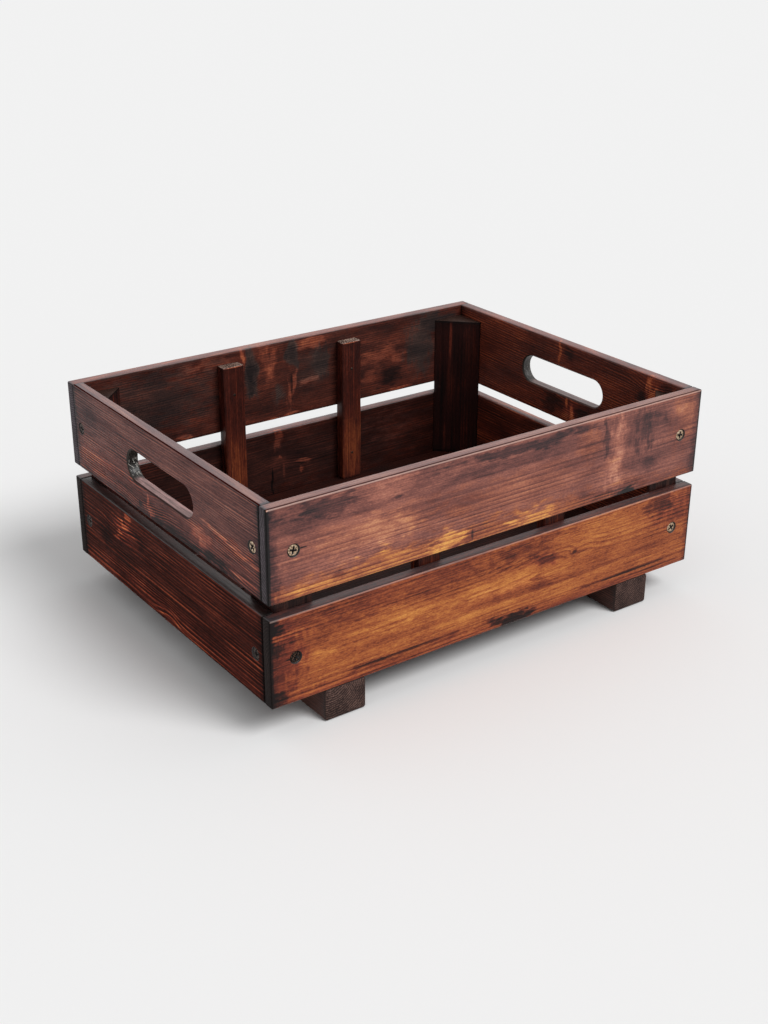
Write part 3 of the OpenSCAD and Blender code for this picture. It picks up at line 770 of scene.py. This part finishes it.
# Slate patches and bright licks of flame, seen inside the crate.
wall_board("back_upper_board", X, Y, "back_boards", 23, ends_in=BOARD_ENDS, paints=BROWN_PAINTS,
           heat=0.49, rings=(1.9, 0.09, 1.0), pith=(100, 14, 0.03), cloudy=0.34, streaky=0.22,
           gritty=0.12, ends=0.2, edges=-0.30, greyed=0.4, gloss=0.16, sheen=0.8,
           other_paints=SLATE_PAINTS,
           zones=[(164, 48, 0, 7, 24, 9, 1.0), (205, 57, 0, 7, 13, 9, 1.0), (190, 24, 0, 8, 9, 9, 0.9),
                  (236, 44, 0, 12, 18, 9, 0.8), (342, 40, 0, 20, 32, 9, 0.8),
                  (362, 60, 0, 22, 11, 9, 0.9), (224, 40, 0, 24, 18, 9, 0.4),
                  (60, 40, 0, 76, 34, 9, 0.45), (200, 35, 0, 300, 60, 9, 0.25)],
           marks=[(80, 36, 0, 46, 28, 6, 0.08), (122, 63, 0, 28, 6, 5, -0.18),
                  (155, 62, 0, 4, 10, 5, -0.30), (164, 48, 0, 6, 22, 5, 0.24),
                  (205, 57, 0, 6, 12, 5, 0.14), (181, 55, 0, 12, 16, 5, -0.24),
                  (182, 40, 0, 10, 9, 5, -0.14), (202, 25, 0, 3.6, 21, 5, -0.28),
                  (203, 28, 0, 1.4, 12, 5, 0.30), (176, 13, 0, 15, 9, 5, 0.04),
                  (219, 30, 0, 11, 3, 5, -0.30), (224, 63, 0, 18, 6, 5, -0.26),
                  (238, 44, 0, 8, 16, 5, 0.08), (303, 37, 0, 27, 11, 5, -0.24),
                  (290, 19, 0, 14, 8, 5, -0.18), (307, 17, 0, 12, 9, 5, 0.26),
                  (342, 38, 0, 18, 28, 5, 0.06), (365, 60, 0, 20, 9, 5, 0.14),
                  (190, 1.5, 0, 30, 2, 5, -0.30), (320, 2.5, 0, 12, 3, 5, -0.25),
                  (95, 2, 0, 8, 3, 5, -0.30)],
           knots=[(203, 30, 0, 16, 26, 8, 5.0), (164, 42, 0, 12, 30, 8, -4.0)])

# Reddish brown, with bright knots below the slot and near the front. The pale bevel of its slot is a painted
# highlight, and its sill partly a painted reflection of the sky.
wall_board("right_upper_board", -Y, X, "end_boards", 24, slot_tones=((80, 56, 51), (104, 84, 82), 0.2),
           ends_in=BOARD_ENDS, paints=BROWN_PAINTS, heat=0.385, rings=(2.2, -0.25, 0.6),
           pith=(-64, 6, -0.05), cloudy=0.28, streaky=0.26, gritty=0.12, ends=0.3, edges=-0.12,
           greyed=0.35, gloss=0.26, sheen=0.8, other_paints=FLAME_PAINTS,
           zones=[(156, 10, 0, 9, 14, 12, 0.8), (249, 58, 0, 9, 14, 12, 0.8)],
           marks=[(135, 60, 0, 2.2, 12, 5, -0.24), (150, 62, 0, 10, 4, 5, 0.24),
                  (132, 11, 0, 12, 9, 5, 0.26), (170, 10, 0, 12, 9, 5, 0.20),
                  (150, 18, 0, 2.6, 7, 5, -0.34), (155, 10, 0, 2.8, 7, 5, -0.34),
                  (162, 3, 0, 3, 5, 5, -0.26), (245, 62, 0, 3, 8, 5, -0.28), (251, 53, 0, 3, 7, 5, -0.26),
                  (238, 50, 0, 8, 6, 5, 0.26), (262, 62, 0, 8, 6, 5, 0.16)],
           knots=[(155, 10, 0, 26, 18, 8, 4.0), (248, 61, 0, 26, 14, 8, 4.0)])

# Battens. Upright strips that tie the two rows of the front and the back together, glued to the
# boards and held by small pins with flat heads. Their tops show pale end grain.
BATTEN_PAINTS = [(0.0, (196, 112, 70)), (0.3, (126, 58, 40)), (0.5, (84, 36, 27)), (0.7, (52, 22, 18)),
                 (1.0, (20, 12, 12))]
BATTEN_ENDS = ((24, 16, 14), (70, 50, 44), (206, 178, 162))


def batten(node, inward, seed, heat):
    """Batten from its outer face inward, darker at the top and golden at its foot."""
    axes = (Z, X, inward)
    start, size = laid_out(node, *axes)
    outline = [(0, 0), (size[1], 0), (size[1], size[2]), (0, size[2])]
    piece = sanded_stick(node + "_timber", start, axes, size[0], outline, radius=0.8, step=2.0, seed=seed,
                         wear=0.35)
    piece.data.materials.append(scorched_wood(
        node + "_wood", start, axes, size, paints=BATTEN_PAINTS, heat=heat, rings=(1.5, 0.20, 0.6),
        pith=(70, 4, 0.01), seed=seed, other_paints=GOLD_PAINTS,
        zones=[(26, 10, size[2] / 2, 46, 18, 18, 0.5)],
        marks=[(105, 10, size[2] / 2, 50, 16, 16, 0.12), (30, 10, size[2] / 2, 46, 16, 16, -0.07),
               # The last mark, a pale line along the top inner arris, is partly rubbed wood and partly a
               # painted glint.
               (129.5, 10, size[2], 0.8, 14, 0.8, -0.6)],
        lines=[(5, 0.5, -0.10), (12, 0.5, -0.12)], end_paints=BATTEN_ENDS, end_grain=(0.1, 2.4), ends=0.12,
        cloudy=0.16, streaky=0.30, gloss=0.18))
    holes = [pin_hole(spot, drive) for spot, drive in pin_spots() if inside(spot + drive * MM, node)]
    cut_away(piece, holes, hole_soot)
    hand_in(piece, node)


batten("front_left_batten", Y, 31, 0.62)
batten("front_right_batten", Y, 32, 0.60)
batten("back_left_batten", -Y, 33, 0.56)
batten("back_right_batten", -Y, 34, 0.56)

# Batten pins. Thin steel wire nails with small flat heads, two through each batten into the boards
# behind it. The varnish wiped over them and left them dull.
def metal(name, paints, seed):
    """Metal with a warm tarnish, in three paints from tarnished to bright."""
    f = Finish(name)
    in_mm = f.vector("MULTIPLY", f.coordinates.outputs["Object"], (1 / MM, 1 / MM, 1 / MM))
    tarnish = f.mottle(in_mm, (1.1, 1.1, 1.1), 3.0, 0.65, seed)[0]
    f.feed(f.shader.inputs["Base Color"], f.ramp(tarnish, toned(zip((0.36, 0.5, 0.66), paints))))
    f.shader.inputs["Metallic"].default_value = 0.9
    f.feed(f.shader.inputs["Roughness"], f.step(tarnish, 0.35, 0.65, 0.5, 0.3))
    f.relief(tarnish, 0.3, 0.15)
    return f.material


pin_profile = [(PIN_HEAD_R - 0.2, 0), (PIN_HEAD_R, 0.15), (PIN_HEAD_R, PIN_HEAD_T),
               (PIN_R, PIN_HEAD_T + 0.01), (PIN_R, PIN_L - 1.5), (0.1, PIN_L)]
pins = solids_mesh("batten_pins_wire", [lathe(pin_profile, 20, spot, drive) for spot, drive in pin_spots()])
pins.data.materials.append(metal("pin_steel", ((36, 30, 27), (66, 56, 50), (120, 108, 98)), 1))
hand_in(pins, "batten_pins")

# Floor. Four slats along the crate, with narrow gaps, screwed down into the runners and up into the
# posts. They were scorched like the walls, and they lie in their shadow.
slat_names = ["floor_slat_%d" % i for i in range(1, 5)]


def floor_screw_spots():
    """Head tops of the floor screws: in line with each runner's middle, in the middle of each slat."""
    spots = []
    for runner_name in ("left_runner", "right_runner"):
        runner_low, runner_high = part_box(runner_name)
        for slat in slat_names:
            low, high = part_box(slat)
            middle_x = (runner_low.x + runner_high.x) / 2
            spots.append(Vector((middle_x, (low.y + high.y) / 2, high.z - SINK * MM)))
    return spots


floor_screws = floor_screw_spots()
SLAT_PALE_SPOTS = (250, 150, 310, 80)
for i, slat in enumerate(slat_names):
    slat_axes = (X, Y, -Z)
    slat_start, slat_size = laid_out(slat, *slat_axes)
    outline = [(0, 0), (slat_size[1], 0), (slat_size[1], slat_size[2]), (0, slat_size[2])]
    piece = sanded_stick(slat + "_timber", slat_start, slat_axes, slat_size[0], outline, radius=1.3, step=2.4,
                         seed=41 + i, wear=0.4)
    piece.data.materials.append(scorched_wood(
        slat + "_wood", slat_start, slat_axes, slat_size, paints=BROWN_PAINTS, heat=0.68 + 0.03 * (i % 2),
        rings=(2.3, 0.2, 0.8), pith=(random.Random(i).uniform(-50, 90), -16, 0.02),
        marks=[(SLAT_PALE_SPOTS[i], 54, 0, 27, 14, 6, -0.28)], seed=41 + i, ends=0.2, cloudy=0.24,
        streaky=0.18, gloss=0.12))
    holes = [screw_hole(spot, -Z, FLOOR_SCREW) for spot in floor_screws if inside(spot, slat)]
    holes += [screw_hole(spot, Z, FLOOR_SCREW) for spot in post_screws if inside(spot, slat)]
    cut_away(piece, holes, hole_soot)
    hand_in(piece, slat)

# Runners. Two sawn blocks across the underside that keep the floor off the rack. The torch and the
# varnish took their end grain grey.
RUNNER_PAINTS = [(0.0, (150, 92, 66)), (0.25, (112, 68, 54)), (0.45, (84, 54, 47)), (0.65, (58, 42, 39)),
                 (1.0, (22, 18, 18))]
RUNNER_ENDS = ((30, 23, 21), (57, 44, 42), (116, 90, 81))
for runner_name, seed, pith in (("left_runner", 51, (4, 34, 0.0)), ("right_runner", 52, (-14, 60, 0.0))):
    runner_axes = (Y, X, Z)
    runner_start, runner_size = laid_out(runner_name, *runner_axes)
    outline = [(0, 0), (runner_size[1], 0), (runner_size[1], runner_size[2]), (0, runner_size[2])]
    piece = sanded_stick(runner_name + "_timber", runner_start, runner_axes, runner_size[0], outline,
                         radius=1.7, step=2.2, seed=seed, wear=0.5)
    piece.data.materials.append(scorched_wood(
        runner_name + "_wood", runner_start, runner_axes, runner_size, paints=RUNNER_PAINTS, heat=0.52,
        rings=(1.8, 0.22, 0.4), pith=pith, seed=seed, end_paints=RUNNER_ENDS, end_grain=(0.22, 0.8),
        ends=0.15, cloudy=0.24, streaky=0.2, gloss=0.14))
    holes = [screw_hole(spot, -Z, FLOOR_SCREW) for spot in floor_screws
             if inside(spot - Z * (FLOOR_SCREW - 5) * MM, runner_name)]
    cut_away(piece, holes, hole_soot)
    hand_in(piece, runner_name)

# Screws. Brassed countersunk screws with a cross recess, sunk just below the wood and clogged with
# soot and varnish.
brass = metal("screw_brass", ((70, 54, 42), (172, 146, 118), (236, 214, 188)), 2)
dirty_brass = metal("screw_brass_sooty", ((8, 6, 6), (22, 17, 15), (116, 90, 74)), 3)
turns = random.Random(7)


def cross_recess(head_top, drive):
    """Cutter for a cross recess, narrowing downwards, turned any way round."""
    spin = Matrix.Rotation(turns.uniform(0, math.pi / 2), 3, "Z").to_quaternion()
    turn = drive.to_track_quat("Z", "Y") @ spin
    verts = []
    for depth, reach, half in ((-0.3, 3.0, 0.80), (0.0, 2.9, 0.76), (1.8, 1.3, 0.42)):
        plus = [(reach, half), (half, half), (half, reach), (-half, reach), (-half, half), (-reach, half),
                (-reach, -half), (-half, -half), (-half, -reach), (half, -reach), (half, -half),
                (reach, -half)]
        verts += [(head_top + turn @ Vector((x, y, depth)) * MM)[:] for x, y in plus]
    faces = [(r + k, r + (k + 1) % 12, r + 12 + (k + 1) % 12, r + 12 + k)
             for r in (0, 12) for k in range(12)]
    return verts, faces + [tuple(range(12)), tuple(range(24, 36))]


def screws(node, spots, length, sooty=()):
    """All screws of one CAD node; spots are their head tops with their drives, sooty the dirtiest ones."""
    profile = [(HEAD_R - 0.7, 0.0), (HEAD_R - 0.25, 0.05), (HEAD_R - 0.02, 0.2), (HEAD_R, HEAD_RIM),
               (SCREW_R, HEAD_RIM + HEAD_R - SCREW_R), (SCREW_R, length - 2 * SCREW_R), (0.4, length)]
    piece = solids_mesh(node + "_brass", [lathe(profile, 40, spot, drive) for spot, drive in spots])
    piece.data.materials.append(brass)
    cut_away(piece, [cross_recess(spot, drive) for spot, drive in spots], hole_soot)
    piece.data.materials.append(dirty_brass)
    for face in piece.data.polygons:
        nearest = min(range(len(spots)), key=lambda i: (spots[i][0] - face.center).length)
        if face.normal.dot(spots[nearest][1]) > -0.8:
            face.material_index = 1
        elif nearest in sooty:
            face.material_index = 2
    hand_in(piece, node)


SOOTY_HEADS = {"front": (0,), "left": (0, 2, 3), "back": (1, 2), "right": (0, 3)}
for wall, drive in WALL_DRIVES.items():
    screws(wall + "_screws", [(spot, drive) for spot in wall_screws[wall]], WALL_SCREW, SOOTY_HEADS[wall])
screws("floor_screws", [(spot, -Z) for spot in floor_screws], FLOOR_SCREW, (0, 3, 5, 6))
screws("post_screws", [(spot, Z) for spot in post_screws], FLOOR_SCREW)

# Studio. A plain pale floor, a bright even sky and one large soft lamp from the front right.
FLOOR_DROP = 0.0003
floor_corners = [(x, y, -FLOOR_DROP) for x, y in ((-30, -30), (30, -30), (30, 60), (-30, 60))]
floor_mesh = bpy.data.meshes.new("studio_floor")
floor_mesh.from_pydata(floor_corners, [], [(0, 1, 2, 3)])
studio_floor = bpy.data.objects.new("studio_floor", floor_mesh)
bpy.context.scene.collection.objects.link(studio_floor)
floor_finish = Finish("studio_paper")
floor_finish.shader.inputs["Base Color"].default_value = grey(0.91)
floor_finish.shader.inputs["Roughness"].default_value = 0.9
floor_finish.shader.inputs["Specular IOR Level"].default_value = 0.0
floor_mesh.materials.append(floor_finish.material)

lamp = bpy.data.lights.new("soft_lamp", "SUN")
lamp.energy = 1.9
lamp.angle = math.radians(28)
lamp_holder = bpy.data.objects.new("soft_lamp", lamp)
lamp_holder.rotation_mode = "QUATERNION"
lamp_holder.rotation_quaternion = Vector((0.25, -0.62, 0.75)).to_track_quat("Z", "Y")
bpy.context.scene.collection.objects.link(lamp_holder)

sky = bpy.data.worlds.new("studio")
sky.use_nodes = True
sky_tree = sky.node_tree
path = sky_tree.nodes.new("ShaderNodeLightPath")
seen = sky_tree.nodes.new("ShaderNodeMath")
seen.operation = "MAXIMUM"
sky_tree.links.new(path.outputs["Is Camera Ray"], seen.inputs[0])
sky_tree.links.new(path.outputs["Is Glossy Ray"], seen.inputs[1])
level = sky_tree.nodes.new("ShaderNodeMapRange")
sky_tree.links.new(seen.outputs[0], level.inputs[0])
level.inputs["To Min"].default_value = 0.52
level.inputs["To Max"].default_value = 0.90
sky_tree.links.new(level.outputs[0], sky_tree.nodes["Background"].inputs["Strength"])
sky_tree.nodes["Background"].inputs["Color"].default_value = grey(1.0)
bpy.context.scene.world = sky
bpy.context.scene.view_settings.view_transform = "Standard"

CAMERA_PLACE = (-0.62026, -0.86242, 0.55036)
CAMERA_TURN, CAMERA_DIP, CAMERA_TILT = -35.786, 24.570, 0.336
camera = bpy.data.cameras.new("camera")
camera.lens = 50.03
camera.clip_end = 200
camera_holder = bpy.data.objects.new("camera", camera)
camera_holder.matrix_world = (Matrix.Translation(CAMERA_PLACE)
                              @ Matrix.Rotation(math.radians(CAMERA_TURN), 4, "Z")
                              @ Matrix.Rotation(math.radians(90 - CAMERA_DIP), 4, "X")
                              @ Matrix.Rotation(math.radians(CAMERA_TILT), 4, "Z"))
bpy.context.scene.collection.objects.link(camera_holder)
bpy.context.scene.camera = camera_holder
